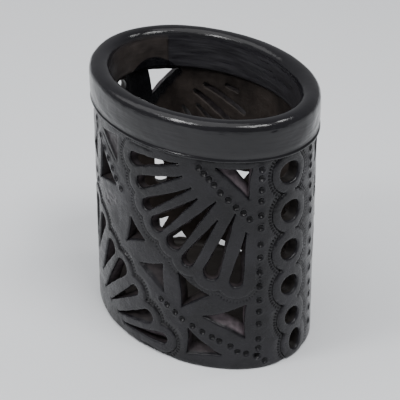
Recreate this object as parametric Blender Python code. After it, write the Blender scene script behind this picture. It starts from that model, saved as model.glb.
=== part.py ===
"""A free-standing oval pot of black clay, built from slabs, with a pierced wall and a thick burnished rim.

Each wall slab is cut flat, with its pattern of holes, and then rolled round the oval.
Lengths are in millimetres until a point is placed; the model is in metres, +Z up, and the
origin is the centre of the underside. +X runs along the oval's long axis.
"""
import math

import bmesh
import bpy
import numpy as np
from mathutils import Vector

MM = 0.001

# Driving dimensions of the whole pot
HEIGHT = 110.0
HALF_LENGTH = 53.1  # outer face of the wall, long way
HALF_WIDTH = 39.2  # outer face of the wall, short way
WALL = 5.0
BATTER = 0.25  # the foot stands out and the top draws in by this much
WALL_TOP = 94.3
GAP = 0.3  # clearance between two clay pieces
FLOOR = 4.0
COIL = 2.0  # size of the coil pressed into the corner of the floor
RIM_SEAT = WALL_TOP + GAP
RIM_SKIRT = 92.9  # how far the rim reaches down inside the wall
RIM_THICK = 7.4
LIP_RADIUS = 3.4

# Rolling and rounding
BENDS = 60  # upright lines, evenly spaced round the oval, where the slabs bend
RIM_STATIONS = 64
ARC_POINTS = 7

# The ring columns at the two ends of the oval, measured from each column's centre line.
# The right column stands on the end of the long axis and the left one a little past the other end.
RING_HOLES = [(0.5, 86.8, 4.5), (1.6, 69.6, 4.5), (1.7, 52.2, 4.3), (2.2, 35.6, 4.2), (4.2, 20.2, 3.9)]
FOOT_HOLE = (6.4, 7.6, 3.5, 5.0)  # place, height, half width and half height
STRIP_LEFT = -14.0
STRIP_RIGHT_TOP = 16.5
STRIP_RIGHT_FOOT = 21.5
LEFT_COLUMN_PAST_END = 8.0
BACK_PATTERN_PAST_END = 6.0  # the back's pattern starts this far past the end of the long axis

# The two fans of teardrop petals that both long sides have: (tip, centre of the bulb, radius of the bulb)
UPPER_FAN = [
    ((101.0, 90.6), (79.0, 85.8), 2.7),
    ((102.6, 85.6), (82.8, 77.2), 2.6),
    ((106.5, 81.5), (85.6, 68.3), 2.5),
    ((109.0, 77.4), (91.0, 61.5), 3.4),
    ((116.3, 77.2), (98.8, 55.8), 3.4),
    ((116.9, 69.0), (104.9, 49.2), 2.8),
    ((123.8, 72.4), (114.5, 45.4), 3.2),
]
LOWER_FAN = [
    ((38.2, 17.5), (31.6, 34.6), 2.2),
    ((39.6, 23.5), (36.0, 47.0), 2.8),
    ((42.4, 26.5), (43.6, 50.5), 3.0),
    ((44.6, 28.4), (51.8, 45.4), 3.0),
    ((49.6, 20.2), (60.4, 37.2), 3.3),
    ((52.2, 12.8), (68.6, 31.6), 3.7),
    ((58.8, 10.2), (77.2, 24.6), 2.2),
    ((65.4, 7.8), (84.6, 15.4), 3.0),
]

# The sides are cut by hand to one drawing, and these petals differ between them
FRONT_PETALS = [
    ((128.1, 64.0), (124.5, 42.2), 2.7),
    ((69.6, 4.8), (92.6, 8.2), 2.4),
    ((37.0, 11.0), (32.4, 21.5), 1.8),
]
BACK_PETALS = [
    ((128.1, 64.0), (124.6, 37.8), 3.2),
    ((69.6, 4.8), (94.6, 5.6), 3.2),
    ((36.8, 12.0), (25.8, 24.0), 2.4),
    ((34.6, 5.4), (22.6, 12.2), 2.2),
]

# Three-sided holes that both long sides have, by their corners
TRIANGLES = [
    ((116.0, 91.4), (130.2, 91.6), (128.8, 78.6)),
    ((53.4, 83.4), (66.6, 69.0), (50.4, 65.0)),
    ((47.0, 85.4), (45.6, 71.4), (36.6, 74.2)),
    ((29.8, 77.6), (29.4, 66.0), (37.6, 64.4)),
    ((27.4, 91.4), (38.4, 91.4), (29.8, 84.4)),
    ((100.4, 42.4), (113.8, 34.6), (102.0, 26.6)),
]
FRONT_TRIANGLES = [
    ((76.2, 59.0), (84.2, 51.2), (73.2, 46.6)),
    ((81.4, 39.8), (93.4, 44.0), (93.8, 31.0)),
    ((111.2, 24.6), (128.6, 31.2), (128.2, 15.4)),
    ((104.8, 17.2), (104.2, 5.0), (119.0, 6.8)),
]
BACK_TRIANGLES = [
    ((73.2, 63.0), (81.2, 55.2), (70.2, 50.6)),
    ((77.8, 48.6), (93.0, 46.6), (88.6, 31.0)),
    ((111.2, 23.0), (128.2, 30.4), (125.2, 8.4)),
    ((104.8, 16.8), (105.0, 3.4), (120.6, 3.8)),
    ((13.4, 91.2), (23.4, 91.2), (14.2, 83.0)),
    ((14.4, 76.2), (14.0, 67.2), (23.2, 66.8)),
    ((17.4, 57.6), (17.0, 45.6), (26.4, 50.4)),
]
SIDE_HOLLOW = 0.03  # how far a side bows inwards, as a share of its length


def oval_table(count=7200):
    """Distance round the outer face of the wall against the oval's own angle."""
    angles = np.linspace(0.0, 2.0 * math.pi, count + 1)
    x = HALF_LENGTH * np.cos(angles)
    y = HALF_WIDTH * np.sin(angles)
    steps = np.hypot(np.diff(x), np.diff(y))
    return angles, np.concatenate([[0.0], np.cumsum(steps)])


ANGLES, DISTANCES = oval_table()
PERIMETER = float(DISTANCES[-1])
HALF_TURN = PERIMETER / 2.0
LEFT_COLUMN = HALF_TURN + LEFT_COLUMN_PAST_END
BEND_STEP = PERIMETER / BENDS


def on_oval(distance, outwards, z):
    """The point at a distance round the oval from +X, moved outwards from the wall's outer face."""
    angle = float(np.interp(distance % PERIMETER, DISTANCES, ANGLES))
    along = Vector((HALF_LENGTH * math.cos(angle), HALF_WIDTH * math.sin(angle)))
    normal = Vector((HALF_WIDTH * math.cos(angle), HALF_LENGTH * math.sin(angle))).normalized()
    place = along + normal * outwards
    return Vector((place.x, place.y, z)) * MM


def batter(z):
    """How far the wall leans out at a height."""
    return BATTER * (1.0 - 2.0 * z / WALL_TOP)


def clay(name, colour, roughness):
    """A fired clay material."""
    material = bpy.data.materials.new(name)
    material.use_nodes = True
    shader = material.node_tree.nodes["Principled BSDF"]
    shader.inputs["Base Color"].default_value = (*colour, 1.0)
    shader.inputs["Roughness"].default_value = roughness
    shader.inputs["Metallic"].default_value = 0.0
    return material


def teardrop(tip, bulb, radius):
    """A petal: straight sides from a pointed tip to a round bulb."""
    to_tip = Vector(tip) - Vector(bulb)
    facing = math.atan2(to_tip.y, to_tip.x)
    spread = math.acos(radius / to_tip.length)
    turn = 2.0 * (math.pi - spread)
    points = [tuple(tip)]
    for i in range(ARC_POINTS):
        angle = facing + spread + turn * i / (ARC_POINTS - 1)
        points.append((bulb[0] + radius * math.cos(angle), bulb[1] + radius * math.sin(angle)))
    return points


def hollow_triangle(corners):
    """A three-sided hole whose sides bow inwards."""
    centre = sum((Vector(c) for c in corners), Vector((0.0, 0.0))) / 3.0
    points = []
    for i, corner in enumerate(corners):
        following = Vector(corners[(i + 1) % 3])
        start = Vector(corner)
        middle = (start + following) / 2.0
        inwards = (centre - middle).normalized()
        points.append(tuple(start))
        points.append(tuple(middle + inwards * SIDE_HOLLOW * (following - start).length))
    return points


def round_hole(x, z, half_width, half_height, count=14):
    """A round or upright oval hole."""
    points = []
    for i in range(count):
        angle = 2.0 * math.pi * (i + 0.5) / count
        points.append((x + half_width * math.cos(angle), z + half_height * math.sin(angle)))
    return points


def flat_slab(name, outline, holes):
    """A slab as cut on the bench, WALL thick: x along it, y up it, and its outer face up."""
    curve = bpy.data.curves.new(name + "_cut", "CURVE")
    curve.dimensions = "2D"
    curve.fill_mode = "BOTH"
    curve.extrude = WALL / 2.0
    for ring in [outline, *holes]:
        spline = curve.splines.new("POLY")
        spline.points.add(len(ring) - 1)
        for point, (x, y) in zip(spline.points, ring):
            point.co = (x, y, 0.0, 1.0)
        spline.use_cyclic_u = True
    cut = bpy.data.objects.new(name + "_cut", curve)
    bpy.context.scene.collection.objects.link(cut)
    graph = bpy.context.evaluated_depsgraph_get()
    mesh = bpy.data.meshes.new_from_object(cut.evaluated_get(graph))
    bpy.data.objects.remove(cut)
    return mesh


def rolled_slab(name, outline, holes, start, material):
    """The slab rolled round the oval, its x = 0 at the distance start."""
    mesh = flat_slab(name, outline, holes)
    shape = bmesh.new()
    shape.from_mesh(mesh)
    bmesh.ops.remove_doubles(shape, verts=shape.verts, dist=0.001)
    low = min(x for x, _ in outline)
    high = max(x for x, _ in outline)
    first = math.ceil((start + low) / BEND_STEP)
    last = math.floor((start + high) / BEND_STEP)
    for bend in range(first, last + 1):
        line = Vector((bend * BEND_STEP - start, 0.0, 0.0))
        everything = [*shape.verts, *shape.edges, *shape.faces]
        bmesh.ops.bisect_plane(shape, geom=everything, dist=0.03, plane_co=line, plane_no=(1.0, 0.0, 0.0))
    bmesh.ops.triangulate(shape, faces=shape.faces)
    for vert in shape.verts:
        depth = vert.co.z - WALL / 2.0
        vert.co = on_oval(start + vert.co.x, depth + batter(vert.co.y), vert.co.y)
    bmesh.ops.recalc_face_normals(shape, faces=shape.faces)
    return solid(name, shape, mesh, material)


def solid(name, shape, mesh, material):
    """Writes the shape to the mesh and makes it a named object."""
    shape.to_mesh(mesh)
    shape.free()
    mesh.materials.clear()
    mesh.materials.append(material)
    mesh.name = name
    made = bpy.data.objects.new(name, mesh)
    bpy.context.scene.collection.objects.link(made)
    return made


def oval_ring(name, profile, material):
    """A closed section, as (outwards, z) points, carried once round the oval."""
    shape = bmesh.new()
    sections = []
    for i in range(RIM_STATIONS):
        distance = PERIMETER * i / RIM_STATIONS
        sections.append([shape.verts.new(on_oval(distance, out, z)) for out, z in profile])
    for i, section in enumerate(sections):
        following = sections[(i + 1) % RIM_STATIONS]
        for j, vert in enumerate(section):
            k = (j + 1) % len(profile)
            shape.faces.new((vert, following[j], following[k], section[k]))
    bmesh.ops.triangulate(shape, faces=shape.faces)
    bmesh.ops.recalc_face_normals(shape, faces=shape.faces)
    made = solid(name, shape, bpy.data.meshes.new(name), material)
    made.data.shade_smooth()
    made.data.set_sharp_from_angle(angle=math.radians(40.0))
    return made


def rim_profile():
    """The rim's section: an upright strip with a rounded lip and a skirt that laps inside the wall."""
    inner = -RIM_THICK
    skirt = -WALL - BATTER - GAP
    lip_z = HEIGHT - LIP_RADIUS
    lip_centre = (0.8 + inner) / 2.0
    points = [(0.4, RIM_SEAT), (0.8, RIM_SEAT + 2.5)]
    for i in range(7):
        angle = math.pi * i / 6
        out = lip_centre + (0.8 - lip_centre) * math.cos(angle)
        points.append((out, lip_z + LIP_RADIUS * math.sin(angle)))
    points.extend([(inner, RIM_SKIRT + 1.2), (inner + 0.6, RIM_SKIRT), (skirt, RIM_SKIRT), (skirt, RIM_SEAT)])
    return points


def coil_profile():
    """The coil's section: a small fillet between the floor and the wall, with its two backs flat."""
    back = -WALL + batter(FLOOR + COIL) - GAP
    low = FLOOR + GAP
    slope = 0.35 * COIL
    return [(back, low), (back, low + COIL), (back - slope, low + slope), (back - COIL, low)]


def make_floor(material):
    """The oval floor slab, let in between the walls."""
    shape = bmesh.new()
    edge = -WALL - GAP
    foot = []
    for i in range(RIM_STATIONS):
        foot.append(shape.verts.new(on_oval(PERIMETER * i / RIM_STATIONS, edge, 0.0)))
    face = shape.faces.new(foot)
    grown = bmesh.ops.extrude_face_region(shape, geom=[face])
    risen = [v for v in grown["geom"] if isinstance(v, bmesh.types.BMVert)]
    bmesh.ops.translate(shape, verts=risen, vec=(0.0, 0.0, FLOOR * MM))
    bmesh.ops.triangulate(shape, faces=shape.faces)
    bmesh.ops.recalc_face_normals(shape, faces=shape.faces)
    return solid("floor_slab", shape, bpy.data.meshes.new("floor_slab"), material)


def make_ring_strip(name, start, material):
    """One end of the oval: a narrow slab with a column of round holes."""
    outline = [(STRIP_LEFT, 0.0), (STRIP_RIGHT_FOOT, 0.0), (STRIP_RIGHT_TOP, WALL_TOP), (STRIP_LEFT, WALL_TOP)]
    holes = [round_hole(x, z, r, r) for x, z, r in RING_HOLES]
    holes.append(round_hole(*FOOT_HOLE))
    return rolled_slab(name, outline, holes, start, material)


def make_panel(name, start, before, after, petals, triangles, material):
    """One long side of the oval: the openwork slab between the ring columns before and after it."""
    right = after + STRIP_LEFT - GAP - start
    left_foot = before + STRIP_RIGHT_FOOT + GAP - start
    left_top = before + STRIP_RIGHT_TOP + GAP - start
    outline = [(left_foot, 0.0), (right, 0.0), (right, WALL_TOP), (left_top, WALL_TOP)]
    holes = [teardrop(*petal) for petal in UPPER_FAN + LOWER_FAN + petals]
    holes.extend(hollow_triangle(corners) for corners in TRIANGLES + triangles)
    return rolled_slab(name, outline, holes, start, material)


def build():
    """The whole pot."""
    for old in list(bpy.data.objects):
        bpy.data.objects.remove(old)
    matt = clay("matt_clay", (0.052, 0.053, 0.056), 0.55)
    raw = clay("inner_clay", (0.085, 0.072, 0.066), 0.8)
    burnished = clay("burnished_clay", (0.03, 0.03, 0.034), 0.28)
    make_floor(raw)
    oval_ring("floor_seam_coil", coil_profile(), raw)
    make_ring_strip("right_ring_strip", 0.0, matt)
    make_ring_strip("left_ring_strip", LEFT_COLUMN, matt)
    make_panel("back_wall", BACK_PATTERN_PAST_END, 0.0, LEFT_COLUMN, BACK_PETALS, BACK_TRIANGLES, matt)
    make_panel("front_wall", HALF_TURN, LEFT_COLUMN, PERIMETER, FRONT_PETALS, FRONT_TRIANGLES, matt)
    oval_ring("rim_band", rim_profile(), burnished)


build()
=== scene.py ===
"""The looks of the openwork black clay pot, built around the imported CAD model.

The pattern is drawn flat, in millimetres: x runs along the wall from one end of the oval and z
runs up. Each wall slab is meshed flat, given its relief, and rolled round the oval.
"""
import math
from collections import namedtuple

import bpy
import numpy as np
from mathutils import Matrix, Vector
from mathutils.geometry import delaunay_2d_cdt


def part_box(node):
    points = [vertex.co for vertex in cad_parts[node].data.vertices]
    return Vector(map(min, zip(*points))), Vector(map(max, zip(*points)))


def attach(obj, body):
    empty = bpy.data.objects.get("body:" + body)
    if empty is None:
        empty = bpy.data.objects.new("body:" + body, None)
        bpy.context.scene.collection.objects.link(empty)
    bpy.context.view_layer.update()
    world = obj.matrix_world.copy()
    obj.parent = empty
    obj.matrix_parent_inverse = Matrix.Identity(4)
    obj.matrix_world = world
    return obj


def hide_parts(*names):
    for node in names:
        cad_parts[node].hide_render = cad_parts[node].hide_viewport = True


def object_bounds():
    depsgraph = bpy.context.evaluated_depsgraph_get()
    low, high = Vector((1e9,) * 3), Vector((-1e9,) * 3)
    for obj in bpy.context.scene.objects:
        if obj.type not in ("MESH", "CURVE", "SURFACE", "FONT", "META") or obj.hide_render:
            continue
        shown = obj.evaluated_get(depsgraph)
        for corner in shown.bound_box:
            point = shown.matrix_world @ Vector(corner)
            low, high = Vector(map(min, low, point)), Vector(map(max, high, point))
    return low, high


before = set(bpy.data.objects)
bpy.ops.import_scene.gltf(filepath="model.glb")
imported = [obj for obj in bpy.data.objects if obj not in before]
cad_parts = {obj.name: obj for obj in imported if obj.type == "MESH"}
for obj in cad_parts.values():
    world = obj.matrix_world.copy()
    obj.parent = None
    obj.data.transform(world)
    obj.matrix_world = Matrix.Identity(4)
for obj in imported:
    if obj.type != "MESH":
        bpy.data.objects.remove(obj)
CAD_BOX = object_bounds()
MM = 0.001


# -------------------- sizes, in millimetres


def low(node, axis):
    """A CAD node's lowest coordinate on an axis."""
    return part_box(node)[0][axis] / MM


def high(node, axis):
    """A CAD node's highest coordinate on an axis."""
    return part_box(node)[1][axis] / MM


BATTER = 0.25  # the foot stands out and the top draws in by this much
WALL = 5.0
HALF_LENGTH = high("right_ring_strip", 0) - BATTER
HALF_WIDTH = high("back_wall", 1) - BATTER
SEAT = high("front_wall", 2) + 0.3  # where the rim sits on the wall
TOP = high("rim_band", 2)
SKIRT = low("rim_band", 2)
FLOOR = high("floor_slab", 2)
RIM_PROUD = high("rim_band", 0) - HALF_LENGTH
RIM_THICK = 7.4

EDGE = 0.75  # rounding of the pierced edges, outside
INNER_EDGE = 0.4
FOOT_EDGE = 1.1
TOP_EDGE = 0.5
EDGE_ROWS = (0.134, 0.5, 1.0)  # where rows of points stand across a rounded edge
BORDER_STEP = 0.8
DEPTHS = 5  # steps through the thickness of a cut
FINE = 0.34  # spacing of mesh points on carved ground
PLAIN = 0.95  # spacing on smooth ground
INSIDE = 1.5  # spacing on the inner face

# -------------------- the carved pattern

# Round holes of the end columns: place, height, half width, half height, radius of the ring round it
RING_HOLES = [
    (0.5, 86.8, 4.9, 4.5, 8.0),
    (1.6, 69.6, 4.9, 4.5, 8.5),
    (1.7, 52.2, 4.7, 4.3, 8.5),
    (2.2, 35.6, 4.6, 4.2, 8.4),
    (4.2, 20.2, 3.9, 3.9, 7.8),
    (6.4, 7.6, 3.5, 5.0, 7.8),
]
STRIP_LEFT = -14.0
STRIP_RIGHT_TOP = 16.5
STRIP_RIGHT_FOOT = 21.5
LEFT_COLUMN_PAST_END = 8.0
BACK_PATTERN_PAST_END = 6.0

# Petals of the two fans: tip, centre of the bulb, its radius, and how far the scallop stands off it
UPPER_FAN = [
    ((101.0, 90.6), (79.0, 85.8), 2.7, 4.0),
    ((102.6, 85.6), (82.8, 77.2), 2.6, 4.2),
    ((106.5, 81.5), (85.6, 68.3), 2.5, 4.2),
    ((109.0, 77.4), (91.0, 61.5), 3.4, 4.0),
    ((116.3, 77.2), (98.8, 55.8), 3.4, 4.2),
    ((116.9, 69.0), (104.9, 49.2), 2.8, 4.4),
    ((123.8, 72.4), (114.5, 45.4), 3.2, 5.0),
]
UPPER_HUB = (132.0, 95.0)
LOWER_FAN = [
    ((38.2, 17.5), (31.6, 34.6), 2.2, 4.0),
    ((39.6, 23.5), (36.0, 47.0), 2.8, 4.0),
    ((42.4, 26.5), (43.6, 50.5), 3.0, 4.0),
    ((44.6, 28.4), (51.8, 45.4), 3.0, 4.2),
    ((49.6, 20.2), (60.4, 37.2), 3.3, 4.2),
    ((52.2, 12.8), (68.6, 31.6), 3.7, 4.4),
    ((58.8, 10.2), (77.2, 24.6), 2.2, 4.6),
    ((65.4, 7.8), (84.6, 15.4), 3.0, 4.4),
]
LOWER_HUB = (39.0, 0.0)
# The sides are cut by hand to one drawing, and these petals differ between them
FRONT_UPPER = [((128.1, 64.0), (124.5, 42.2), 2.7, 5.2)]
FRONT_LOWER = [((69.6, 4.8), (92.6, 8.2), 2.4, 4.4), ((37.0, 11.0), (32.4, 21.5), 1.8, 3.6)]
BACK_UPPER = [((128.1, 64.0), (124.6, 37.8), 3.2, 4.6)]
BACK_LOWER = [
    ((69.6, 4.8), (94.6, 5.6), 3.2, 4.0),
    ((36.8, 12.0), (25.8, 24.0), 2.4, 4.0),
    ((34.6, 5.4), (22.6, 12.2), 2.2, 3.6),
]

# How the knife came through each side's petals, by the centre of the bulb, and the others alike: from one
# share of the length to another, half the slot's width or none for a slot that follows the petal, its
# slant, and how much of the cut is left as a pinkish facet, brightened as painted light
FRONT_KNIVES = {
    None: (0.0, 0.88, 0.0, (-0.7, -1.5), 0.4),
    (77.2, 24.6): (0.1, 0.7, 0.8, (-0.3, 0.9), 0.2),
    (84.6, 15.4): (0.05, 0.6, 0.8, (-0.6, 1.6), 0.12),
    (92.6, 8.2): (0.05, 0.55, 0.3, (0.6, -3.2), 0.6),
}
BACK_KNIVES = {
    None: (0.2, 0.84, 1.0, (0.0, -0.6), 0.3),
    (79.0, 85.8): (0.3, 0.56, 0.9, (0.0, -2.0), 0.3),
    (82.8, 77.2): (-0.05, 0.97, 1.3, (0.0, -0.6), 0.3),
    (85.6, 68.3): (0.1, 1.0, 1.3, (0.5, -0.4), 0.3),
    (124.6, 37.8): (0.0, 0.97, 0.0, (0.3, 0.2), 0.0),
    (94.6, 5.6): (0.0, 0.97, 0.0, (-1.0, 0.5), 0.0),
}

# Three-sided holes: the corners outside, and the corners inside where the slanting knife comes out
TRIANGLES = [
    (((53.4, 83.4), (66.6, 69.0), (50.4, 65.0)), ((53.0, 81.2), (62.4, 69.2), (51.0, 66.2))),
    (((47.0, 85.4), (45.6, 71.4), (36.6, 74.2)), ((46.6, 84.0), (45.4, 72.2), (37.6, 74.6))),
    (((29.8, 77.6), (29.4, 66.0), (37.6, 64.4)), ((30.2, 75.8), (30.0, 67.0), (36.0, 65.6))),
    (((27.4, 91.4), (38.4, 91.4), (29.8, 84.4)), ((28.4, 91.0), (36.8, 91.0), (30.4, 86.0))),
    (((100.4, 42.4), (113.8, 34.6), (102.0, 26.6)), ((101.2, 40.6), (111.4, 34.8), (102.6, 28.6))),
]
FRONT_TRIANGLES = [
    (((116.0, 91.4), (130.2, 91.6), (128.8, 78.6)), ((121.8, 90.8), (130.0, 91.2), (129.2, 82.8))),
    (((76.2, 59.0), (84.2, 51.2), (73.2, 46.6)), ((75.9, 57.8), (81.6, 51.9), (74.2, 49.2))),
    (((81.4, 39.8), (93.4, 44.0), (93.8, 31.0)), ((90.4, 41.6), (92.8, 42.8), (93.0, 38.4))),
    (((111.2, 24.6), (128.6, 31.2), (128.2, 15.4)), ((118.0, 26.4), (128.2, 30.6), (127.8, 20.4))),
    (((104.8, 17.2), (104.2, 5.0), (119.0, 6.8)), ((105.0, 14.6), (104.8, 8.6), (109.8, 8.8))),
]
BACK_TRIANGLES = [
    (((116.0, 91.4), (130.2, 91.6), (128.8, 78.6)), ((115.4, 91.4), (130.8, 91.4), (128.9, 79.2))),
    (((73.2, 63.0), (81.2, 55.2), (70.2, 50.6)), ((73.0, 61.6), (79.4, 55.4), (71.0, 52.2))),
    (((77.8, 48.6), (93.0, 46.6), (88.6, 31.0)), ((77.8, 48.6), (92.0, 46.4), (88.4, 33.4))),
    (((111.2, 23.0), (128.2, 30.4), (125.2, 8.4)), ((121.4, 17.6), (127.8, 17.0), (125.4, 11.0))),
    (((104.8, 16.8), (105.0, 3.4), (120.6, 3.8)), ((115.6, 11.4), (112.2, 6.4), (119.8, 6.4))),
    (((13.4, 91.2), (23.4, 91.2), (14.2, 83.0)), ((14.0, 90.8), (22.0, 90.8), (14.6, 84.4))),
    (((14.4, 76.2), (14.0, 67.2), (23.2, 66.8)), ((14.8, 74.8), (14.6, 68.2), (21.6, 68.0))),
    (((17.4, 57.6), (17.0, 45.6), (26.4, 50.4)), ((17.8, 55.8), (17.6, 47.2), (24.6, 50.6))),
]
SIDE_HOLLOW = 0.03
# The wide pinkish facets of the front, by a triangle's first corner, with amounts that also brighten them as
# painted light
LIT_FACETS = {(116.0, 91.4): 1.0, (81.4, 39.8): 0.25, (111.2, 24.6): 1.0, (104.8, 17.2): 0.35}
# On the front a triangle by the rim was begun and never cut through, with a scored line beside it
BLIND_TRIANGLE = [(55.0, 90.2), (68.6, 79.0), (69.4, 92.6)]
SCORED_LINE = ((56.0, 87.6), (66.2, 79.9))

# Punched dots: place and height
DOTS = [
    (109.6, 91.0), (111.6, 88.9), (113.6, 86.8), (115.6, 84.6), (118.0, 81.6), (121.0, 78.5), (124.0, 75.4),
    (126.9, 72.9), (129.3, 70.1), (92.6, 27.4), (95.5, 25.8), (99.3, 23.5), (102.4, 21.3), (106.9, 19.1),
    (111.1, 17.3), (115.0, 15.4), (118.0, 13.9), (122.5, 11.6), (125.3, 8.9), (128.8, 8.0), (132.8, 6.6),
    (136.5, 3.5), (47.6, 90.2), (48.2, 87.2), (52.7, 85.1), (57.2, 81.4), (60.9, 78.6), (64.3, 75.6),
    (66.9, 72.3), (70.5, 69.2), (44.0, 65.0), (47.0, 62.0),
]
COLUMN_LEFT = [91.0, 87.3, 82.4, 77.6, 71.4, 65.8, 58.5, 52.6, 45.8, 39.5, 33.0, 27.6, 21.8, 14.5, 10.1, 6.4]
COLUMN_RIGHT = [92.0, 87.9, 84.3, 79.8, 75.1, 68.9, 63.5, 56.4, 49.1, 43.3, 36.0, 28.9, 23.0, 16.0, 9.0]
DOT_RADIUS = 1.4
DOT_DEPTH = 0.95
TICK_PITCH = 1.25
SEAM = 126.6  # where the rim strip's two ends meet
PIT = (-8.0, 107.4)  # a small pit in the lip


def oval_table(count=7200):
    """Distance round the outer face of the wall against the oval's own angle."""
    angles = np.linspace(0.0, 2.0 * math.pi, count + 1)
    x = HALF_LENGTH * np.cos(angles)
    y = HALF_WIDTH * np.sin(angles)
    return angles, np.concatenate([[0.0], np.cumsum(np.hypot(np.diff(x), np.diff(y)))])


ANGLES, DISTANCES = oval_table()
PERIMETER = float(DISTANCES[-1])
FRONT_START = PERIMETER / 2.0
LEFT_COLUMN = FRONT_START + LEFT_COLUMN_PAST_END
BACK_START = BACK_PATTERN_PAST_END


def on_oval(distance, outwards, z):
    """Points at distances round the oval, moved outwards from the wall's outer face, in millimetres."""
    angle = np.interp(np.mod(distance, PERIMETER), DISTANCES, ANGLES)
    c, s = np.cos(angle), np.sin(angle)
    length = np.hypot(HALF_WIDTH * c, HALF_LENGTH * s)
    x = HALF_LENGTH * c + outwards * HALF_WIDTH * c / length
    y = HALF_WIDTH * s + outwards * HALF_LENGTH * s / length
    return np.stack(np.broadcast_arrays(x, y, z), -1)


def batter(z):
    """How far the wall leans out at a height."""
    return BATTER * (1.0 - 2.0 * z / SEAT)


# -------------------- small maths


def ramp(t):
    """0 below 0 and 1 above 1, smooth between."""
    t = np.clip(t, 0.0, 1.0)
    return t * t * (3.0 - 2.0 * t)


def bell(t):
    """1 at 0, falling smoothly to 0 at 1 either way."""
    return np.clip(1.0 - t * t, 0.0, None) ** 2


def lattice(ix, iy, iz, seed):
    """A repeatable value from -1 to 1 at each whole-number point."""
    n = (ix * 73856093) ^ (iy * 19349663) ^ (iz * 83492791) ^ (seed * 2654435)
    n = ((n ^ (n >> 13)) & 0x7FFFFFFF) * 1274126177
    return ((n >> 15) & 0xFFFF) / 32767.5 - 1.0


def noise(points, size, seed):
    """Smooth noise from -1 to 1 with features of about this size."""
    q = points / size
    base = np.floor(q).astype(np.int64)
    f = q - base
    f = f * f * (3.0 - 2.0 * f)
    total = np.zeros(len(points))
    for dx in (0, 1):
        wx = f[:, 0] if dx else 1.0 - f[:, 0]
        for dy in (0, 1):
            wy = f[:, 1] if dy else 1.0 - f[:, 1]
            for dz in (0, 1):
                wz = f[:, 2] if dz else 1.0 - f[:, 2]
                total += wx * wy * wz * lattice(base[:, 0] + dx, base[:, 1] + dy, base[:, 2] + dz, seed)
    return total


# -------------------- outlines


def teardrop(tip, bulb, radius, step=0.4):
    """A petal's outline: straight sides from a pointed tip to a round bulb, anticlockwise."""
    tip, bulb = np.array(tip), np.array(bulb)
    to_tip = tip - bulb
    length = np.hypot(*to_tip)
    facing = math.atan2(to_tip[1], to_tip[0])
    spread = math.acos(radius / length)
    turn = 2.0 * (math.pi - spread)
    count = max(8, int(radius * turn / step))
    angles = facing + spread + turn * np.linspace(0.0, 1.0, count)
    arc = bulb + radius * np.stack([np.cos(angles), np.sin(angles)], -1)
    side = np.linspace(0.0, 1.0, max(4, int(length / (1.6 * step))))[1:-1, None]
    return np.concatenate([[tip], tip + (arc[0] - tip) * side, arc, arc[-1] + (tip - arc[-1]) * side])


def hollow_triangle(corners, step=0.5):
    """A three-sided outline whose sides bow inwards, anticlockwise."""
    corners = np.array(corners)
    turn = np.cross(corners[1] - corners[0], corners[2] - corners[0])
    if turn < 0.0:
        corners = corners[::-1]
    centre = corners.mean(0)
    points = []
    for i in range(3):
        a, b = corners[i], corners[(i + 1) % 3]
        length = np.hypot(*(b - a))
        inwards = centre - (a + b) / 2.0
        inwards = inwards / np.hypot(*inwards)
        t = np.arange(int(length / step)) / int(length / step)
        bow = 4.0 * t * (1.0 - t) * SIDE_HOLLOW * length
        points.append(a + (b - a) * t[:, None] + inwards * bow[:, None])
    return np.concatenate(points)


def oval_outline(x, z, half_width, half_height, step=0.45):
    """A round or upright oval outline, anticlockwise."""
    count = int(2.0 * math.pi * max(half_width, half_height) / step)
    angles = 2.0 * math.pi * np.arange(count) / count
    return np.stack([x + half_width * np.cos(angles), z + half_height * np.sin(angles)], -1)


def outward(outline):
    """The unit direction away from the inside, at each point of an anticlockwise outline."""
    along = np.roll(outline, -1, 0) - np.roll(outline, 1, 0)
    along /= np.maximum(np.hypot(along[:, 0], along[:, 1]), 1e-9)[:, None]
    return np.stack([along[:, 1], -along[:, 0]], -1)


def inside(points, outline):
    """Which points lie inside an outline."""
    a, b = outline, np.roll(outline, -1, 0)
    x, z = points[:, 0][:, None], points[:, 1][:, None]
    crosses = (a[:, 1] > z) != (b[:, 1] > z)
    rise = np.where(np.abs(b[:, 1] - a[:, 1]) < 1e-12, 1e-12, b[:, 1] - a[:, 1])
    at = a[:, 0] + (z - a[:, 1]) * (b[:, 0] - a[:, 0]) / rise
    return (np.sum(crosses & (x < at), axis=1) % 2) == 1


def distance_to(points, outline):
    """Distance from each point to an outline, negative inside it."""
    a, b = outline, np.roll(outline, -1, 0)
    d = b - a
    rel = points[:, None, :] - a[None]
    t = np.clip((rel * d).sum(-1) / np.maximum((d * d).sum(-1), 1e-12), 0.0, 1.0)
    gap = rel - d * t[..., None]
    found = np.sqrt((gap**2).sum(-1).min(1))
    return np.where(inside(points, outline), -found, found)


def near(points, outline, reach):
    """Which points lie within reach of an outline's box."""
    lo, hi = outline.min(0) - reach, outline.max(0) + reach
    return np.all((points > lo) & (points < hi), axis=1)


# -------------------- the pattern's pieces


Hole = namedtuple("Hole", "outline inner facet")


def pierced(outline, inner, facet=0.0):
    """A hole by its outline on the outer face, where the knife comes out on the inner face, and its pinkish
    facet, brightened as painted light.
    """
    return Hole(unsteady(outline, 0.16, 4), unsteady(inner, 0.34, 5), facet)


def moved(hole, by):
    """The same hole further round the pot."""
    return Hole(hole.outline + (by, 0.0), hole.inner + (by, 0.0), hole.facet)


def freedom(outline):
    """How far each point of an outline may wander: not at all at a sharp corner, and fully 3 mm from one."""
    before, after = outline - np.roll(outline, 1, 0), np.roll(outline, -1, 0) - outline
    straight = (before * after).sum(-1) / (np.hypot(*before.T) * np.hypot(*after.T))
    corners = outline[straight < 0.5]
    if not len(corners):
        return np.ones(len(outline))
    gaps = outline[:, None] - corners[None]
    return ramp(np.hypot(gaps[..., 0], gaps[..., 1]).min(1) / 3.0)


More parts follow.
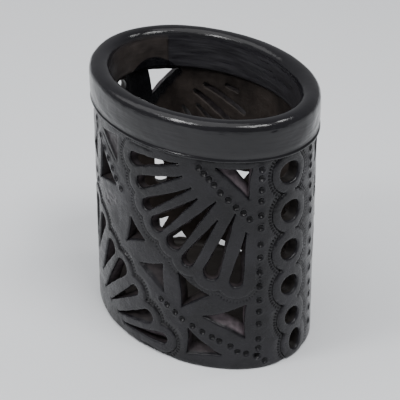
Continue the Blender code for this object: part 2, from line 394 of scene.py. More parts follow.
def unsteady(outline, amount, seed):
    """An outline as a hand cuts it, wandering a little."""
    flat = np.concatenate([outline, np.zeros((len(outline), 1))], -1)
    return outline + outward(outline) * (amount * freedom(outline) * noise(flat, 3.2, seed))[:, None]


def round_cut(x, z, half_width, half_height):
    """A round hole, cut nearly square to the face."""
    outline = oval_outline(x, z, half_width, half_height)
    return pierced(outline, (x, z) + (outline - (x, z)) * 0.88)


def capsule(tip, bulb, start, end, radius, shares):
    """A round-ended slot between two shares of a petal's length, anticlockwise from the tip."""
    tip, bulb = np.array(tip), np.array(bulb)
    length = np.hypot(*(tip - bulb))
    axis = (tip - bulb) / length
    across = np.array([-axis[1], axis[0]])
    straight, quarter = (end - start) * length, math.pi * radius / 2.0
    run = shares * (2.0 * straight + 4.0 * quarter)
    turned = np.clip(run / radius, 0.0, math.pi / 2.0)
    turned += np.clip((run - quarter - straight) / radius, 0.0, math.pi)
    turned += np.clip((run - 3.0 * quarter - 2.0 * straight) / radius, 0.0, math.pi / 2.0)
    back = np.clip(run - quarter, 0.0, straight) - np.clip(run - 3.0 * quarter - straight, 0.0, straight)
    along = end * length - back + radius * np.cos(turned)
    return bulb + along[:, None] * axis + (radius * np.sin(turned))[:, None] * across


def petal_cut(tip, bulb, radius, by, knives):
    """A petal, with the slot that the knife leaves on the inner face."""
    outline = teardrop(tip, bulb, radius)
    start, end, width, slant, facet = knives.get(bulb, knives[None])
    steps = np.hypot(*(np.roll(outline, -1, 0) - outline).T)
    shares = np.concatenate([[0.0], np.cumsum(steps)[:-1]]) / steps.sum()
    if width:
        inner = capsule(tip, bulb, start, end, width, shares)
    else:
        centre = np.array(bulb) + 0.1 * (np.array(tip) - np.array(bulb))
        inner = centre + (outline - centre) * (end, end)
    return pierced(outline + (by, 0.0), inner + slant + (by, 0.0), facet)


def triangle_cut(corners, inner_corners, by):
    """A three-sided hole whose knife cuts slant towards the inner corners."""
    outline = hollow_triangle(corners)
    edges = np.array([corners[1], corners[2]]) - np.array(corners[0])
    inner_edges = np.array([inner_corners[1], inner_corners[2]]) - np.array(inner_corners[0])
    shares = (outline - np.array(corners[0])) @ np.linalg.inv(edges)
    inner = np.array(inner_corners[0]) + shares @ inner_edges
    return pierced(outline + (by, 0.0), inner + (by, 0.0), LIT_FACETS.get(corners[0], 0.15))


def slid(item, by):
    """The same dot or ring further round the pot."""
    return item[0] + by, *item[1:]


def repeated(items, move):
    """The items, and copies one turn to either side."""
    return items + [move(i, PERIMETER) for i in items] + [move(i, -PERIMETER) for i in items]


def all_holes():
    """Every hole of the pot."""
    holes = []
    for column in (0.0, LEFT_COLUMN):
        holes += [round_cut(column + x, z, a, b) for x, z, a, b, _ in RING_HOLES]
    for fans, triangles, by, knives in SIDES:
        for fan, _, _ in fans:
            holes += [petal_cut(tip, bulb, radius, by, knives) for tip, bulb, radius, _ in fan]
        holes += [triangle_cut(outer, inner, by) for outer, inner in triangles]
    return holes


def all_dots():
    """Every punched dot of the pot, leaving out those that would fall in a hole."""
    dots = []
    for _, _, by, _ in SIDES:
        dots += [(x + by, z) for x, z in DOTS]
    for column in (0.0, LEFT_COLUMN):
        dots += [(column - 12.1, z) for z in COLUMN_LEFT]
        dots += [(column + 19.2 - 6.0 * (z / SEAT) ** 1.2, z) for z in COLUMN_RIGHT]
    dots = np.array(dots)
    clear = np.ones(len(dots), bool)
    for hole in HOLES:
        clear &= distance_to(dots, hole.outline) > 1.1 * DOT_RADIUS
    return [tuple(dot) for dot in dots[clear]]


# Each side: its fans with their hubs and how deep their scallops are, its triangles, where it starts, and
# how the knife came through its petals
SIDES = [
    (
        [(UPPER_FAN + FRONT_UPPER, UPPER_HUB, 0.45), (LOWER_FAN + FRONT_LOWER, LOWER_HUB, 1.0)],
        TRIANGLES + FRONT_TRIANGLES,
        FRONT_START,
        FRONT_KNIVES,
    ),
    (
        [(UPPER_FAN + BACK_UPPER, UPPER_HUB, 0.45), (LOWER_FAN + BACK_LOWER, LOWER_HUB, 1.0)],
        TRIANGLES + BACK_TRIANGLES,
        BACK_START,
        BACK_KNIVES,
    ),
]
HOLES = repeated(all_holes(), moved)
PUNCHED = repeated(all_dots(), slid)
COLUMNS = [(c + x, z, r) for c in (0.0, LEFT_COLUMN) for x, z, _, _, r in RING_HOLES]
COLUMNS = repeated(COLUMNS, slid)


def petal_gap(x, z, tip, bulb, big, small):
    """Distance outside a round-ended wedge from the bulb's circle to the tip's."""
    axis = np.array(tip) - np.array(bulb)
    length = np.hypot(*axis)
    axis = axis / length
    px, pz = x - bulb[0], z - bulb[1]
    along = px * axis[0] + pz * axis[1]
    across = np.abs(px * axis[1] - pz * axis[0])
    lean = (big - small) / length
    up = math.sqrt(1.0 - lean * lean)
    k = along * up - across * lean
    at_bulb = np.hypot(across, along) - big
    at_tip = np.hypot(across, along - length) - small
    beside = across * up + along * lean - big
    return np.where(k < 0.0, at_bulb, np.where(k > up * length, at_tip, beside))


def scallop(gaps, turns, weight, tick_weight):
    """Relief of a scalloped edge: a low step with a groove at its foot and a row of short ticks beyond."""
    order = np.sort(gaps, axis=0)
    which = gaps.argmin(0)
    gap = order[0]
    notch = np.exp(-(order[1] - order[0]) / 0.9)
    angle = np.take_along_axis(turns, which[None], 0)[0]
    step = -0.36 * ramp((gap + 0.2) / 0.6) * (1.0 - ramp((gap - 1.4) / 3.2))
    groove = -(0.45 + 0.3 * notch) * bell((gap - 0.2) / (0.45 + 0.2 * notch))
    row = ramp((gap - 0.75) / 0.3) * (1.0 - ramp((gap - 1.8) / 0.5))
    ticks = -0.42 * np.clip(np.cos(angle), 0.0, 1.0) * row
    return weight * (step + groove) + tick_weight * ticks


def fan_relief(x, z, fan, hub, depth):
    """The scalloped edge round a fan's bulbs."""
    gaps, turns = [], []
    for tip, bulb, radius, margin in fan:
        gaps.append(petal_gap(x, z, tip, bulb, radius + margin, 0.5 * margin))
        ticks = round(2.0 * math.pi * (radius + margin + 1.0) / TICK_PITCH)
        turns.append(ticks * np.arctan2(z - bulb[1], x - bulb[0]))
    reach = np.hypot(x - hub[0], z - hub[1])
    outside = ramp((reach - 40.0) / 6.0)
    return scallop(np.array(gaps), np.array(turns), depth * outside, max(depth, 0.8) * outside)


def fans_relief(x, z):
    """The scalloped edges of every fan."""
    height = np.zeros(len(x))
    for fans, _, start, _ in SIDES:
        for by in (start - PERIMETER, start, start + PERIMETER):
            close = (x - by > 5.0) & (x - by < 140.0)
            for fan, hub, depth in fans:
                height[close] += fan_relief(x[close] - by, z[close], fan, hub, depth)
    return height


def column_relief(x, z):
    """The scalloped edge round the rings of the end columns."""
    gaps, turns = [], []
    beside = np.full(len(x), 1e9)
    for cx, cz, radius in COLUMNS:
        gaps.append((np.hypot((x - cx) / radius, (z - cz) / (radius + 0.9)) - 1.0) * radius)
        turns.append(round(2.0 * math.pi * (radius + 1.0) / TICK_PITCH) * np.arctan2(z - cz, x - cx))
        beside = np.where(np.abs(x - cx) < np.abs(beside), x - cx, beside)
    weight = 1.2 - 0.6 * ramp(beside / 3.0)
    return scallop(np.array(gaps), np.array(turns), weight, weight)


def dots_relief(x, z):
    """Round punched dots, each with a slight lip of pushed-up clay."""
    height = np.zeros(len(x))
    for cx, cz in PUNCHED:
        close = (np.abs(x - cx) < 2.5 * DOT_RADIUS) & (np.abs(z - cz) < 2.5 * DOT_RADIUS)
        if close.any():
            t = np.hypot(x[close] - cx, z[close] - cz) / DOT_RADIUS
            bowl = -DOT_DEPTH * (1.0 - np.clip(t, 0.0, 1.0) ** 2.0) * ramp((1.0 - t) / 0.12)
            height[close] += bowl + 0.16 * bell((t - 1.18) / 0.36)
    return height


def blind_depth(points):
    """How far into the unfinished triangle a flat point lies, from 0 at its edge to 1."""
    outline = hollow_triangle(BLIND_TRIANGLE) + (FRONT_START, 0.0)
    depth = np.zeros(len(points))
    close = near(points, outline, 0.5)
    depth[close] = np.clip(-distance_to(points[close], outline) / 1.4, 0.0, 1.0)
    return depth


def rough_patch(points):
    """How much a flat point belongs to the stippled patch on the front's left."""
    x, z = points[:, 0] - FRONT_START - 61.0, points[:, 1] - 60.0
    return bell(np.hypot(x / 9.5, (z - 0.35 * x) / 5.0))


def scored(x, z):
    """The relief of the scored line."""
    a, b = np.array(SCORED_LINE[0]), np.array(SCORED_LINE[1])
    d = b - a
    rel_x, rel_z = x - FRONT_START - a[0], z - a[1]
    t = np.clip((rel_x * d[0] + rel_z * d[1]) / (d @ d), 0.0, 1.0)
    return -0.28 * bell(np.hypot(rel_x - d[0] * t, rel_z - d[1] * t) / 0.5)


def edge_drop(gap, radius):
    """How far a rounded edge falls below the face at this distance from the edge."""
    t = np.clip(1.0 - gap / radius, 0.0, 1.0)
    return radius * (np.sqrt(np.clip(1.0 - t * t, 0.0, 1.0)) - 1.0)


def edges_drop(points, outlines, radius):
    """How far the rounded edges of holes fall below the face at flat points."""
    drop = np.zeros(len(points))
    for outline in outlines:
        close = near(points, outline, radius)
        drop[close] += edge_drop(np.maximum(distance_to(points[close], outline), 0.0), radius)
    return drop


def relief(points, place):
    """Heights of the carved outer face at flat points: whole, and without its rounded edges."""
    x, z = points[:, 0], points[:, 1]
    height = fans_relief(x, z) + column_relief(x, z) + dots_relief(x, z) + scored(x, z)
    height += 0.2 * noise(place, 14.0, 1) + 0.1 * noise(place, 5.0, 2) + 0.035 * noise(place, 1.7, 3)
    blind = blind_depth(points)
    height -= ramp(blind) * (0.75 + 0.16 * noise(place, 1.4, 6))
    height -= rough_patch(points) * (0.1 + 0.22 * noise(place, 1.3, 7))
    carved = height.copy()
    height += edges_drop(points, [hole.outline for hole in HOLES], EDGE)
    height += edge_drop(z, FOOT_EDGE) + edge_drop(SEAT - z, TOP_EDGE)
    return height, carved


def dark_arch(distance, z):
    """The glossy black arch on the inner face by the left column, from 0 to 1."""
    arch = ramp((98.4 - 0.03 * (distance - 135.0) ** 2 - z) / 0.7)
    slant = ramp((distance - 117.0 - 0.93 * np.clip(92.0 - z, 0.0, None)) / 0.9)
    return arch * slant * ramp((152.5 - distance) / 1.5) * ramp((z - 66.0) / 6.0)


# -------------------- meshing a slab


def grid(box, step):
    """Points of a staggered grid over a box."""
    xs = np.arange(box[0], box[2], step)
    zs = np.arange(box[1], box[3], step * 0.866)
    x, z = np.meshgrid(xs, zs)
    x[::2] += step / 2.0
    return np.stack([x.ravel(), z.ravel()], -1)


def spaced(points, kept, least):
    """The points whose square cell of this size holds no kept point."""
    cells = set(map(tuple, np.floor(kept / least).astype(int).tolist()))
    ours = map(tuple, np.floor(points / least).astype(int).tolist())
    return points[[cell not in cells for cell in ours]]


def triangulate(points, loops, holes, border):
    """Triangles over the border less the holes; each loop is a list of point numbers kept as edges."""
    edges = []
    for loop in loops:
        edges += [(loop[i], loop[(i + 1) % len(loop)]) for i in range(len(loop))]
    flat = [Vector(p) for p in points.tolist()]
    verts, _, faces, origins, _, _ = delaunay_2d_cdt(flat, edges, [], 0, 1e-7, True)
    number = np.array([o[0] if o else -1 for o in origins])
    corners = number[np.array([f for f in faces if len(f) == 3])]
    corners = corners[(corners >= 0).all(1)]
    middle = points[corners].mean(1)
    keep = inside(middle, border)
    for outline in holes:
        close = near(middle, outline, 0.0)
        keep[close] &= ~inside(middle[close], outline)
    corners = corners[keep]
    a, b, c = points[corners[:, 0]], points[corners[:, 1]], points[corners[:, 2]]
    turn = np.cross(b - a, c - a)
    corners[turn < 0.0] = corners[turn < 0.0][:, ::-1]
    # Rounding leaves slivers beyond the straight stretches of a border, and they are no part of the face
    return corners[(np.abs(turn) > 1e-6) | (corners >= len(border)).any(1)]


def detail(points):
    """Which flat points lie on carved ground."""
    x, z = points[:, 0], points[:, 1]
    busy = np.abs(column_relief(x, z)) > 0.04
    busy |= np.abs(fans_relief(x, z)) > 0.04
    busy |= np.abs(dots_relief(x, z)) > 0.005
    busy |= (np.abs(scored(x, z)) > 0.01) | (blind_depth(points) > 0.0) | (rough_patch(points) > 0.1)
    return busy


def face_points(border, holes, spacing, edge, fine):
    """The points of one face: its border, its holes' edges and the rows that round them, and a fill."""
    loops, count = [], 0
    parts = [border, *holes]
    for outline in parts:
        loops.append(list(range(count, count + len(outline))))
        count += len(outline)
    box = [*(border.min(0) + 0.3), *(border.max(0) - 0.3)]
    rows = []
    for i, outline in enumerate(holes):
        for share in EDGE_ROWS:
            row = outline + outward(outline) * share * edge
            for j, other in enumerate(holes):
                close = near(row, other, edge)
                keep = np.ones(len(row), bool)
                keep[close] = distance_to(row[close], other) > share * edge * (0.93 if i == j else 1.0)
                row = row[keep]
            rows.append(row[inside(row, border)])
    x = np.arange(box[0], box[2], BORDER_STEP)
    for share in EDGE_ROWS:
        for z in (share * FOOT_EDGE, SEAT - share * TOP_EDGE):
            rows.append(np.stack([x, np.full(len(x), z)], -1))
    rows = np.concatenate(rows)
    rows = rows[inside(rows, border)]
    parts.append(rows)
    plain = grid(box, spacing)
    if fine:
        plain = plain[~detail(plain)]
        dense = grid(box, FINE)
        dense = dense[detail(dense)]
        plain = np.concatenate([dense, spaced(plain, dense, 0.6)])
    clear = inside(plain, border) & (plain[:, 1] > FOOT_EDGE * 1.2) & (plain[:, 1] < SEAT - 0.8)
    for outline in holes:
        close = near(plain, outline, 1.5 * edge)
        clear[close] &= distance_to(plain[close], outline) > 1.25 * edge
    parts.append(plain[clear])
    return np.concatenate(parts), loops


def side_line(foot, top):
    """A slab's edge from the foot to the seat, at points that its neighbour shares."""
    z = np.linspace(0.0, SEAT, 190)
    return np.stack([foot + (top - foot) * z / SEAT, z], -1)


def slab_border(left, right):
    """The outline of a slab between two side lines, anticlockwise."""
    steps = int((right[0, 0] - left[0, 0]) / BORDER_STEP)
    t = (np.arange(1, steps) / steps)[:, None]
    return np.concatenate([
        left[:1],
        left[0] + (right[0] - left[0]) * t,
        right,
        right[-1] + (left[-1] - right[-1]) * t,
        left[:0:-1],
    ])


def add_band(faces, outer, inner, turned):
    """Quads between two rings of point numbers."""
    following = np.roll(outer, -1), np.roll(inner, -1)
    quads = np.stack([outer, following[0], following[1], inner], -1)
    faces.append(quads[:, ::-1] if turned else quads)


def make_slab(name, left, right):
    """One wall slab, rolled round the oval."""
    border = slab_border(left, right)
    holes = [h for h in HOLES if inside(h.outline.mean(0)[None], border)[0]]
    outer_holes, inner_holes = [h.outline for h in holes], [h.inner for h in holes]
    outer, loops = face_points(border, outer_holes, PLAIN, EDGE, True)
    inner, inner_loops = face_points(border, inner_holes, INSIDE, INNER_EDGE, False)
    outer_faces = triangulate(outer, loops, outer_holes, border)
    inner_faces = triangulate(inner, inner_loops, inner_holes, border)

    place = on_oval(outer[:, 0], 0.0, outer[:, 1])
    height, carved = relief(outer, place)
    shift = batter(outer[:, 1])
    outer_place = on_oval(outer[:, 0], shift + height, outer[:, 1])

    place = on_oval(inner[:, 0], -WALL, inner[:, 1])
    hollow = 0.26 * noise(place * [1.0, 1.0, 2.5], 9.0, 11) + 0.1 * noise(place, 3.0, 12)
    hollow -= edges_drop(inner, inner_holes, INNER_EDGE)
    inner_shift = batter(inner[:, 1]) - WALL + hollow
    inner_place = on_oval(inner[:, 0], inner_shift, inner[:, 1])

    flats = [outer, inner]
    points = [outer_place, inner_place]
    cuts = [np.zeros(len(outer)), np.ones(len(inner))]
    lit_facets = [np.zeros(len(outer)), np.zeros(len(inner))]
    for hole, loop in zip(holes, loops[1:]):
        lit_facets[0][loop] = hole.facet
    base = len(outer)
    count = base + len(inner)
    rings = []
    for k, loop in enumerate(loops):
        loop, inner_loop = np.array(loop), np.array(inner_loops[k]) + base
        first, last = outer[loop], inner[inner_loop - base]
        top = (shift + height)[loop]
        bottom = inner_shift[inner_loop - base]
        ring = [loop]
        if k:
            for step in range(1, DEPTHS):
                t = step / DEPTHS
                flat = first + (last - first) * t
                deep = top + (bottom - top) * t
                where = on_oval(flat[:, 0], deep, flat[:, 1])
                wobble = 0.16 * noise(where, 1.7, 21) + 0.12 * noise(where, 5.0, 22)
                flat = flat - outward(flat) * (freedom(first) * wobble)[:, None]
                flats.append(flat)
                points.append(on_oval(flat[:, 0], deep, flat[:, 1]))
                cuts.append(np.full(len(loop), t))
                lit_facets.append(np.full(len(loop), holes[k - 1].facet * ramp((1.0 - t) / 0.3)))
                ring.append(np.arange(count, count + len(loop)))
                count += len(loop)
        ring.append(inner_loop)
        rings.append(ring)
    flats, points, cuts, lit_facets = map(np.concatenate, (flats, points, cuts, lit_facets))
    quads = []
    for k, ring in enumerate(rings):
        for a, b in zip(ring, ring[1:]):
            add_band(quads, a, b, k == 0)
    groove = np.zeros(len(points))
    groove[: len(outer)] = carved
    raw = np.zeros(len(points))
    raw[: len(outer)] = np.maximum(ramp(blind_depth(outer)), 0.7 * rough_patch(outer))
    made = mesh_piece(name, points, [outer_faces, inner_faces[:, ::-1] + base, *quads])
    add_values(made, "cut", cuts)
    add_values(made, "relief", groove)
    add_values(made, "raw", raw)
    add_values(made, "facet", lit_facets)
    add_values(made, "dark_arch", dark_arch(flats[:, 0], flats[:, 1]) * ramp((cuts - 0.5) / 0.5))
    return made


# -------------------- meshes and attributes


def mesh_piece(name, points, face_sets):
    """A smooth-shaded object from points in millimetres and arrays of faces."""
    faces = []
    for part in face_sets:
        faces += part.tolist()
    mesh = bpy.data.meshes.new(name)
    mesh.from_pydata((points * MM).tolist(), [], faces)
    mesh.update()
    mesh.shade_smooth()
    mesh.set_sharp_from_angle(angle=math.radians(62.0))
    made = bpy.data.objects.new(name, mesh)
    bpy.context.scene.collection.objects.link(made)
    return made


def add_values(made, name, values):
    """Stores a number at each point, for the material to read."""
    attribute = made.data.attributes.new(name, "FLOAT", "POINT")
    attribute.data.foreach_set("value", np.asarray(values, np.float32))


def swept(name, profile, stations, shape, values=None):
    """A closed section carried round the oval; shape moves the points and values are stored on them."""
    count = len(profile)
    distance = np.repeat(PERIMETER * np.arange(stations) / stations, count)
    out = np.tile(profile[:, 0], stations)
    z = np.tile(profile[:, 1], stations)
    points = shape(distance, out, z)
    number = np.arange(stations * count).reshape(stations, count)
    ahead = np.roll(number, -1, 0)
    quads = np.stack([number, ahead, np.roll(ahead, -1, 1), np.roll(number, -1, 1)], -1).reshape(-1, 4)
    made = mesh_piece(name, points, [quads])
    for label, measure in (values or {}).items():
        add_values(made, label, measure(distance, out, z))
    return made


def smooth_profile(points, step):
    """Rounds a closed section by cutting its corners three times, then spaces its points evenly."""
    points = np.array(points)
    for _ in range(3):
        following = np.roll(points, -1, 0)
        cuts = [0.75 * points + 0.25 * following, 0.25 * points + 0.75 * following]
        points = np.stack(cuts, 1).reshape(-1, 2)
    loop = np.concatenate([points, points[:1]])
    run = np.concatenate([[0.0], np.cumsum(np.hypot(*np.diff(loop, axis=0).T))])
    at = np.linspace(0.0, run[-1], int(run[-1] / step) + 1)[:-1]
    return np.stack([np.interp(at, run, loop[:, 0]), np.interp(at, run, loop[:, 1])], -1)


def make_rim():
    """The burnished rim: an upright strip with a rounded lip, a little uneven, with its seam inside."""
    inner, proud, back = -RIM_THICK, RIM_PROUD, -WALL - BATTER
    profile = smooth_profile(
        [
            (-2.0, SEAT), (0.1, SEAT), (proud - 0.3, SEAT), (proud + 0.1, SEAT + 0.1),
            (proud + 0.1, SEAT + 0.8), (proud - 0.4, SEAT + 1.2), (proud - 0.4, SEAT + 2.0),
            (proud, SEAT + 4.0), (proud, TOP - 4.4), (proud - 0.4, TOP - 1.6), (-1.6, TOP), (-4.8, TOP),
            (inner + 0.5, TOP - 1.5), (inner, TOP - 4.4), (inner, SEAT + 3.0),
            (inner + 0.1, SKIRT + 0.4), (inner + 0.5, SKIRT), (back - 0.4, SKIRT), (back, SKIRT + 0.2),
            (back, SEAT - 0.3), (back + 0.3, SEAT),
        ],
        0.36,
    )

    def shape(distance, out, z):
        plain = on_oval(distance, out, z)
        free = ramp((z - SEAT) / 3.0)
        lump = 0.42 * noise(plain, 24.0, 31) + 0.22 * noise(plain * [1.0, 1.0, 1.6], 9.0, 32)
        lump += 0.085 * noise(plain * [1.0, 1.0, 1.5], 3.6, 33) + 0.035 * noise(plain, 1.5, 35)
        lump -= 0.3 * bell(np.hypot((distance - PERIMETER - PIT[0]) / 2.2, (z - PIT[1]) / 1.6)) * (out > -3.0)
        lift = 0.36 * noise(plain * [1.0, 1.0, 0.0], 30.0, 34) * ramp((z - SEAT - 6.0) / 8.0)
        side = np.where(out > -0.5 * RIM_THICK, 1.0, -1.0) * ramp(np.abs(out + 0.5 * RIM_THICK) / 2.5)
        seam = -0.45 * bell((distance - SEAM) / 0.8) * (out < inner + 1.5) * ramp((TOP - 4.0 - z) / 1.5)
        foot = 0.12 * noise(plain * [1.0, 1.0, 0.0], 5.0, 36)
        foot *= (1.0 - ramp((z - SEAT - 1.0) / 1.5)) * (out > 0.0)
        return on_oval(distance, out + side * (lump * free * 0.85 + seam) + foot, z + lift)

    def inward(distance, out, z):
        return ramp((-out - 0.62 * RIM_THICK) / (0.25 * RIM_THICK)) * (1.0 - ramp((z - TOP + 4.5) / 3.0))

    def browned(distance, out, z):
        past_seam = ramp((distance - SEAM + 0.3) / 0.6) * ramp((180.0 - distance) / 25.0)
        return inward(distance, out, z) * past_seam

    def arch_inside_rim(distance, out, z):
        return inward(distance, out, z) * dark_arch(distance, z)

    values = {"inward": inward, "browned": browned, "dark_arch": arch_inside_rim}
    return swept("rim_band_burnished", profile, 640, shape, values)


def make_coil():
    """The smoothed coil of clay in the inside corner of the floor."""
    back = -WALL + batter(FLOOR)
    size = high("floor_seam_coil", 2) - low("floor_seam_coil", 2)
    t = np.linspace(0.0, 1.0, 9)
    curve = np.stack([back - 0.15 - size * t**1.8, FLOOR + size * (1.0 - t) ** 1.8 + 0.05], -1)
    upright = [(back, FLOOR), (back, FLOOR + size + 0.2)]
    profile = np.concatenate([upright, curve, [(back - size, FLOOR - 0.05)]])

    def shape(distance, out, z):
        plain = on_oval(distance, out, z)
        return on_oval(distance, out + 0.15 * noise(plain, 6.0, 41), z)

    return swept("floor_seam_coil_smoothed", profile, 240, shape)


def make_floor():
    """The floor slab, with finger-smoothed clay on top and a rubbed underside."""
    rings, stations = 34, 240
    edge = -WALL + BATTER
    distance = PERIMETER * np.arange(stations) / stations
    rim_top = on_oval(distance, edge, FLOOR)
    shares = np.linspace(1.0, 0.0, rings, endpoint=False)
    top = np.concatenate([rim_top * [s, s, 1.0] for s in shares] + [np.array([[0.0, 0.0, FLOOR]])])
    top[:, 2] += 0.15 * noise(top, 11.0, 51) + 0.06 * noise(top, 3.0, 52)
    bottom = np.concatenate([rim_top * [s, s, 0.0] for s in shares] + [np.zeros((1, 3))])
    bottom[:, 2] += 0.05 + 0.05 * noise(bottom, 9.0, 53)
    count = len(top)
    j = np.arange(stations)
    k = (j + 1) % stations
    sets = []
    for base, turned in ((0, False), (count, True)):
        for i in range(rings - 1):
            a = base + i * stations
            quads = np.stack([a + j, a + k, a + stations + k, a + stations + j], -1)
            sets.append(quads[:, ::-1] if turned else quads)
        last = base + (rings - 1) * stations
        fan = np.stack([last + j, last + k, np.full(stations, base + count - 1)], -1)
        sets.append(fan[:, ::-1] if turned else fan)
    sets.append(np.stack([count + j, count + k, k, j], -1))
    return mesh_piece("floor_slab_smoothed", np.concatenate([top, bottom]), sets)


# -------------------- materials


class Nodes:
    """Short calls for building a material's node tree."""

    def __init__(self, name):
        self.material = bpy.data.materials.new(name)
        self.material.use_nodes = True
        self.tree = self.material.node_tree
        self.shader = self.tree.nodes["Principled BSDF"]

    def add(self, kind, **settings):
        node = self.tree.nodes.new(kind)
        for key, value in settings.items():
            setattr(node, key, value)
        return node

    def link(self, source, target):
        self.tree.links.new(source, target)

    def place(self, scale):
        """Object coordinates, stretched."""
        mapping = self.add("ShaderNodeMapping")
        mapping.inputs["Scale"].default_value = scale
        self.link(self.add("ShaderNodeTexCoord").outputs["Object"], mapping.inputs["Vector"])
        return mapping.outputs["Vector"]

    def noise(self, size, stretch=(1.0, 1.0, 1.0), detail=4.0, rough=0.55):
        """Noise with features of a size in metres."""
        node = self.add("ShaderNodeTexNoise")
        node.inputs["Scale"].default_value = 1.0 / size
        node.inputs["Detail"].default_value = detail
        node.inputs["Roughness"].default_value = rough
        self.link(self.place(stretch), node.inputs["Vector"])
        return node.outputs["Fac"]

    def value(self, name):
        """A number stored on the mesh."""
        return self.add("ShaderNodeAttribute", attribute_name=name).outputs["Fac"]

    def spread(self, source, from_low=0.3, from_high=0.7, to_low=0.0, to_high=1.0):
        """Stretches one range of numbers to another; most noise lies between 0.3 and 0.7."""
        node = self.add("ShaderNodeMapRange")
        node.inputs["From Min"].default_value = from_low
        node.inputs["From Max"].default_value = from_high
        node.inputs["To Min"].default_value = to_low
        node.inputs["To Max"].default_value = to_high
        self.link(source, node.inputs["Value"])
        return node.outputs["Result"]

    def scaled(self, source, by):
        return self.maths("MULTIPLY", source, by)

    def maths(self, kind, a, b):
        node = self.add("ShaderNodeMath", operation=kind)
        for socket, given in zip(node.inputs, (a, b)):
            if isinstance(given, (int, float)):
                socket.default_value = given
            else:
                self.link(given, socket)
        return node.outputs[0]

    def mix(self, factor, a, b):
        """Blends two colours, each a socket or a triple."""
        node = self.add("ShaderNodeMix", data_type="RGBA")
        self.link(factor, node.inputs["Factor"])
        for socket, given in ((node.inputs[6], a), (node.inputs[7], b)):
            if isinstance(given, tuple):
                socket.default_value = (*given, 1.0)
            else:
                self.link(given, socket)
        return node.outputs[2]

    def bump(self, height, distance, strength, below=None):
        node = self.add("ShaderNodeBump")
        node.inputs["Distance"].default_value = distance
        node.inputs["Strength"].default_value = strength
        self.link(height, node.inputs["Height"])
        if below is not None:
            self.link(below, node.inputs["Normal"])
        return node.outputs["Normal"]

    def finish(self, colour, roughness, normal):
        self.link(colour, self.shader.inputs["Base Color"])
        self.link(roughness, self.shader.inputs["Roughness"])
        self.link(normal, self.shader.inputs["Normal"])
        return self.material


def wall_clay():
    """Smoke-fired clay: smoothed and half burnished outside, brown and dull where the knife went through. The
    cut walls are darkened as painted shade inside the holes, the carved grooves darkened as painted shade,
    and the pinkish facets brightened as painted light.
    """
    n = Nodes("wall_clay")
    relief_low = n.value("relief")
    groove_shade = n.spread(relief_low, -0.2, -0.8)
    cloud = n.noise(0.016, detail=3.0)
    speck = n.noise(0.0011, detail=5.0, rough=0.7)
    skin = n.mix(n.spread(cloud), (0.004, 0.0038, 0.0048), (0.017, 0.0162, 0.02))
    skin = n.mix(n.spread(speck, 0.55, 0.85, 0.0, 0.5), skin, (0.04, 0.039, 0.045))
    # Painted shade: the skin darkened in the carved grooves and lowered ground
    skin = n.mix(n.scaled(groove_shade, 0.7), skin, (0.005, 0.0046, 0.005))
    grit = n.noise(0.0024, detail=6.0)
    # Pinkish raw clay of the facets, brightened beyond the clay's own tone as painted light on them
    lit_pinkish = n.mix(n.spread(grit), (0.06, 0.049, 0.055), (0.14, 0.114, 0.127))
    # Cut walls: raw brown clay made darker than the inner face, as painted shade inside the holes
    raw = n.mix(n.spread(grit), (0.005, 0.004, 0.0035), (0.015, 0.012, 0.0105))
    raw = n.mix(n.value("facet"), raw, lit_pinkish)
    depth = n.spread(n.value("cut"), 0.02, 0.2)
    colour = n.mix(n.scaled(n.value("raw"), 0.22), skin, lit_pinkish)
    colour = n.mix(depth, colour, raw)
    patches = n.noise(0.009, stretch=(1.0, 1.0, 0.6), detail=5.0)
    within = n.mix(n.spread(patches, 0.35, 0.65), (0.018, 0.014, 0.0125), (0.05, 0.04, 0.035))
    colour = n.mix(n.spread(n.value("cut"), 0.9, 1.0), colour, within)
    # Blackens an arch-shaped area of the inner face by the left column
    colour = n.mix(n.value("dark_arch"), colour, (0.007, 0.007, 0.0085))
    smooth = n.spread(n.noise(0.007, stretch=(1.0, 1.0, 1.6), detail=4.0), 0.3, 0.7, 0.15, 0.38)
    rough = n.maths("ADD", smooth, n.scaled(n.spread(relief_low, -0.5, -1.0), 0.3))
    rough = n.maths("ADD", rough, n.scaled(depth, 0.35))
    rough = n.maths("SUBTRACT", rough, n.scaled(n.value("dark_arch"), 0.45))
    grain = n.bump(n.noise(0.0006, detail=5.0, rough=0.65), 0.0001, 0.9)
    strokes = n.bump(n.noise(0.0035, detail=3.0), 0.0003, 0.9, below=grain)
    n.shader.inputs["Specular IOR Level"].default_value = 0.28
    return n.finish(colour, rough, strokes)


def rim_clay():
    """Clay burnished with a stone: dark and glossy, with level strokes, and browner inside the mouth."""
    n = Nodes("rim_clay")
    cloud = n.noise(0.02, detail=3.0)
    colour = n.mix(n.spread(cloud), (0.0045, 0.0043, 0.0056), (0.009, 0.0086, 0.011))
    stroke = n.noise(0.0045, stretch=(0.35, 0.35, 4.0), detail=5.0)
    streak = n.mix(n.spread(stroke, 0.35, 0.7), (0.022, 0.021, 0.025), (0.056, 0.055, 0.061))
    colour = n.mix(n.scaled(n.value("inward"), 0.8), colour, streak)
    patch = n.noise(0.008, detail=5.0)
    brown = n.mix(n.spread(patch, 0.35, 0.65), (0.036, 0.03, 0.028), (0.06, 0.05, 0.046))
    colour = n.mix(n.value("browned"), colour, brown)
    # Blackens an arch-shaped area of the rim's inner face by the left column
    colour = n.mix(n.value("dark_arch"), colour, (0.006, 0.006, 0.008))
    rough = n.spread(stroke, 0.3, 0.75, 0.1, 0.22)
    rough = n.maths("ADD", rough, n.scaled(n.value("inward"), 0.16))
    rough = n.maths("ADD", rough, n.scaled(n.value("browned"), 0.12))
    rough = n.maths("SUBTRACT", rough, n.scaled(n.value("dark_arch"), 0.25))
    fine = n.bump(n.noise(0.0007, stretch=(0.4, 0.4, 2.5), detail=4.0), 0.00004, 0.8)
    normal = n.bump(stroke, 0.0002, 0.8, below=fine)
    n.shader.inputs["Specular IOR Level"].default_value = 0.42
    return n.finish(colour, rough, normal)


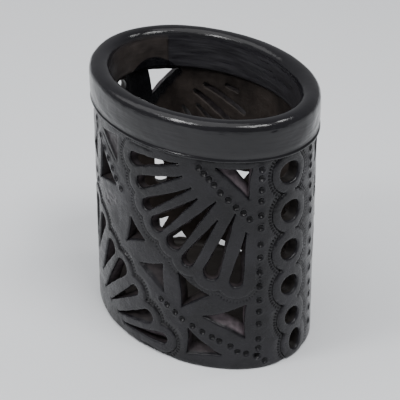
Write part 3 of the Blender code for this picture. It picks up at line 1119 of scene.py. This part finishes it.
def inner_clay():
    """Unburnished clay on the floor."""
    n = Nodes("inner_clay")
    cloud = n.noise(0.012, detail=4.0)
    colour = n.mix(n.spread(cloud), (0.012, 0.0095, 0.0085), (0.026, 0.021, 0.019))
    rough = n.spread(n.noise(0.004, detail=3.0), 0.3, 0.7, 0.6, 0.8)
    normal = n.bump(n.noise(0.001, detail=6.0, rough=0.65), 0.00016, 0.9)
    return n.finish(colour, rough, normal)


# -------------------- the pot


def place_piece(made, material, slot, *nodes):
    """Gives a piece its material and its body, and hides the CAD nodes that it stands for."""
    made.data.materials.append(material)
    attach(made, "root")
    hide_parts(*nodes)


def build_pot():
    """All the pieces of the pot."""
    wall, rim, raw = wall_clay(), rim_clay(), inner_clay()
    first = side_line(STRIP_LEFT, STRIP_LEFT)
    after = side_line(STRIP_RIGHT_FOOT, STRIP_RIGHT_TOP)
    further, whole = np.array([LEFT_COLUMN, 0.0]), np.array([PERIMETER, 0.0])
    slabs = [
        ("right_ring_strip", first, after),
        ("back_wall", after, first + further),
        ("left_ring_strip", first + further, after + further),
        ("front_wall", after + further, first + whole),
    ]
    for node, left, right in slabs:
        place_piece(make_slab(node + "_carved", left, right), wall, "matt_clay", node)
    place_piece(make_rim(), rim, "burnished_clay", "rim_band")
    place_piece(make_coil(), raw, "inner_clay", "floor_seam_coil")
    place_piece(make_floor(), raw, "inner_clay", "floor_slab")


def build_stage():
    """A plain pale floor."""
    bpy.ops.mesh.primitive_plane_add(size=6.0, location=(0.0, 0.0, 0.0))
    floor = bpy.context.object
    floor.name = "pale_floor"
    n = Nodes("pale_floor")
    n.shader.inputs["Base Color"].default_value = (0.86, 0.875, 0.895, 1.0)
    n.shader.inputs["Roughness"].default_value = 0.7
    floor.data.materials.append(n.material)


def area_light(name, place, target, size, power):
    """A soft square light aimed at a point."""
    data = bpy.data.lights.new(name, "AREA")
    data.shape = "RECTANGLE"
    data.size, data.size_y = size
    data.energy = power
    lamp = bpy.data.objects.new(name, data)
    lamp.location = place
    lamp.rotation_euler = (Vector(target) - Vector(place)).to_track_quat("-Z", "Y").to_euler()
    bpy.context.scene.collection.objects.link(lamp)


AZIMUTH = math.radians(51.8)
ELEVATION = math.radians(29.45)
DISTANCE = 0.574


def view_direction(azimuth, elevation):
    """The unit vector from the pot towards a viewer."""
    level = math.cos(elevation)
    return Vector((math.sin(azimuth) * level, -math.cos(azimuth) * level, math.sin(elevation)))


def build_studio():
    """A wide soft light overhead, three windows, a dim room, and the camera."""
    centre = Vector((0.0, 0.0, (CAD_BOX[0].z + CAD_BOX[1].z) / 2.0))
    left = Vector((-math.cos(AZIMUTH), -math.sin(AZIMUTH), 0.0))
    wide = centre + Vector((0.0, 0.0, 1.15)) + left * 0.5
    area_light("wide_overhead", wide, centre, (1.5, 1.5), 10.0)
    windows = [
        ("front_window", 40.0, 65.0, (0.4, 0.32), 5.6),
        ("left_window", -65.0, 45.0, (0.22, 0.17), 2.7),
        ("right_window", 105.0, 58.0, (0.15, 0.15), 1.0),
    ]
    for name, turn, rise, size, power in windows:
        window = centre + view_direction(AZIMUTH + math.radians(turn), math.radians(rise))
        area_light(name, window, centre, size, power)
    world = bpy.data.worlds.new("dim_room")
    world.use_nodes = True
    room = world.node_tree.nodes["Background"].inputs
    room["Color"].default_value = (0.96, 0.97, 1.0, 1.0)
    room["Strength"].default_value = 0.35
    bpy.context.scene.world = world
    data = bpy.data.cameras.new("camera")
    data.lens = 125.0
    data.sensor_width = 36.0
    data.shift_x = -0.00725
    data.shift_y = -0.0205
    data.clip_start = 0.01
    camera = bpy.data.objects.new("camera", data)
    camera.location = centre + view_direction(AZIMUTH, ELEVATION) * DISTANCE
    camera.rotation_euler = (centre - camera.location).to_track_quat("-Z", "Y").to_euler()
    bpy.context.scene.collection.objects.link(camera)
    bpy.context.scene.camera = camera


build_pot()
build_stage()
build_studio()
